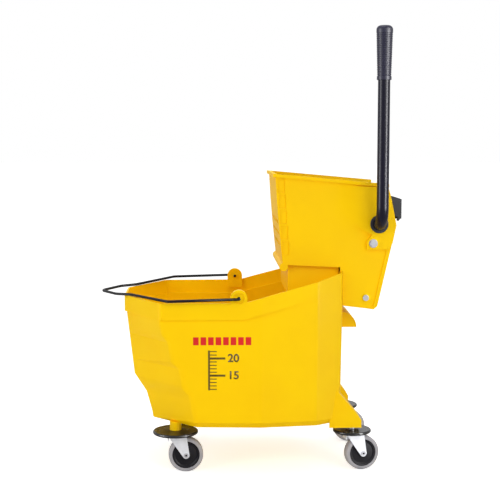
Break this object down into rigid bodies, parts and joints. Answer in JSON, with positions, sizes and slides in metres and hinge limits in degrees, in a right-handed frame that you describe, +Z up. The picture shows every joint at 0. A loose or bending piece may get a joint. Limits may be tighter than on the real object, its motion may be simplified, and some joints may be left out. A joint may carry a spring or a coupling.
{
  "type": "mop bucket with wringer",
  "caption": "Yellow wheeled mop bucket with a side-press wringer, hand lever, wire bail and swivel casters with round bumpers.",
  "frame": {"origin": "on the floor under the middle of the bounding box", "axes": "+X to the rear, where the wringer hangs, -Y the lever side, +Z up"},
  "size_m": [0.6498, 0.428, 0.946],
  "materials": {
    "yellow_shell": "moulded polypropylene, satin to glossy",
    "yellow_press": "moulded polypropylene, satin to glossy",
    "black_wire": "powder-coated steel wire",
    "black_tube": "gloss-painted steel tube",
    "black_grip": "ribbed soft plastic",
    "black_plastic": "glass-filled nylon",
    "black_bumper": "glossy vinyl",
    "grey_tyre": "non-marking thermoplastic rubber",
    "core_plastic": "moulded polypropylene",
    "zinc_fork": "zinc-plated pressed steel",
    "zinc": "zinc-plated steel"
  },
  "bodies": {
    "tub": {"tub": "yellow_shell", "stem_front_left": "zinc", "stem_front_right": "zinc", "stem_rear_left": "zinc", "stem_rear_right": "zinc", "bumper_front_left": "black_bumper", "bumper_front_right": "black_bumper", "bumper_rear_left": "black_bumper", "bumper_rear_right": "black_bumper"},
    "bail": {"bail": "black_wire"},
    "wringer": {"wringer_body": "yellow_press", "drain_skirt": "yellow_press", "bearing_bolts": "zinc", "press_rod": "zinc", "press_rod_caps": "zinc", "shaft_bush_left": "black_plastic", "shaft_bush_right": "black_plastic"},
    "lever": {"lever": "black_tube", "pinion_left": "black_plastic", "pinion_right": "black_plastic", "pinion_pins": "zinc", "shaft_cap": "black_plastic", "grip": "black_grip"},
    "press_plate": {"press_plate": "black_plastic", "rack_left": "black_plastic", "rack_right": "black_plastic", "rack_tie_bar": "black_plastic", "rack_bolts": "zinc"},
    "fork_front_left": {"fork_front_left": "zinc_fork", "axle_front_left": "zinc"},
    "wheel_front_left": {"hub_front_left": "core_plastic", "tyre_front_left": "grey_tyre"},
    "fork_front_right": {"fork_front_right": "zinc_fork", "axle_front_right": "zinc"},
    "wheel_front_right": {"hub_front_right": "core_plastic", "tyre_front_right": "grey_tyre"},
    "fork_rear_left": {"fork_rear_left": "zinc_fork", "axle_rear_left": "zinc"},
    "wheel_rear_left": {"hub_rear_left": "core_plastic", "tyre_rear_left": "grey_tyre"},
    "fork_rear_right": {"fork_rear_right": "zinc_fork", "axle_rear_right": "zinc"},
    "wheel_rear_right": {"hub_rear_right": "core_plastic", "tyre_rear_right": "grey_tyre"}
  },
  "joints": [
    {"name": "bail_swing", "type": "hinge", "parent": "tub", "child": "bail", "pos_m": [-0.02486, 0, 0.388], "axis": [0, 1, 0], "range_deg": [0, 100]},
    {"name": "wringer_lift", "type": "slide", "parent": "tub", "child": "wringer", "axis": [0, 0, 1], "range_m": [0, 0.12]},
    {"name": "lever_pull", "type": "hinge", "parent": "wringer", "child": "lever", "pos_m": [0.27299, 0, 0.5369], "axis": [0, -1, 0], "range_deg": [0, 80]},
    {"name": "press_swing", "type": "hinge", "parent": "wringer", "child": "press_plate", "pos_m": [0.24714, 0, 0.379], "axis": [0, -1, 0], "range_deg": [0, 8.89]},
    {"name": "swivel_front_left", "type": "hinge", "parent": "tub", "child": "fork_front_left", "pos_m": [-0.15986, -0.115, 0.06], "axis": [0, 0, 1], "continuous": true},
    {"name": "wheel_front_left", "type": "hinge", "parent": "fork_front_left", "child": "wheel_front_left", "pos_m": [-0.13789, -0.11385, 0.0375], "axis": [-0.0523, 0.9986, 0], "continuous": true},
    {"name": "swivel_front_right", "type": "hinge", "parent": "tub", "child": "fork_front_right", "pos_m": [-0.15986, 0.115, 0.06], "axis": [0, 0, 1], "continuous": true},
    {"name": "wheel_front_right", "type": "hinge", "parent": "fork_front_right", "child": "wheel_front_right", "pos_m": [-0.15162, 0.1354, 0.0375], "axis": [-0.9272, 0.3746, 0], "continuous": true},
    {"name": "swivel_rear_left", "type": "hinge", "parent": "tub", "child": "fork_rear_left", "pos_m": [0.22214, -0.116, 0.06], "axis": [0, 0, 1], "continuous": true},
    {"name": "wheel_rear_left", "type": "hinge", "parent": "fork_rear_left", "child": "wheel_rear_left", "pos_m": [0.24357, -0.11105, 0.0375], "axis": [-0.225, 0.9744, 0], "continuous": true},
    {"name": "swivel_rear_right", "type": "hinge", "parent": "tub", "child": "fork_rear_right", "pos_m": [0.22214, 0.116, 0.06], "axis": [0, 0, 1], "continuous": true},
    {"name": "wheel_rear_right", "type": "hinge", "parent": "fork_rear_right", "child": "wheel_rear_right", "pos_m": [0.24392, 0.11906, 0.0375], "axis": [-0.1392, 0.9903, 0], "continuous": true}
  ],
  "couplings": [
    {"joint": "press_swing", "follows": "lever_pull", "ratio": 0.11111}
  ]
}
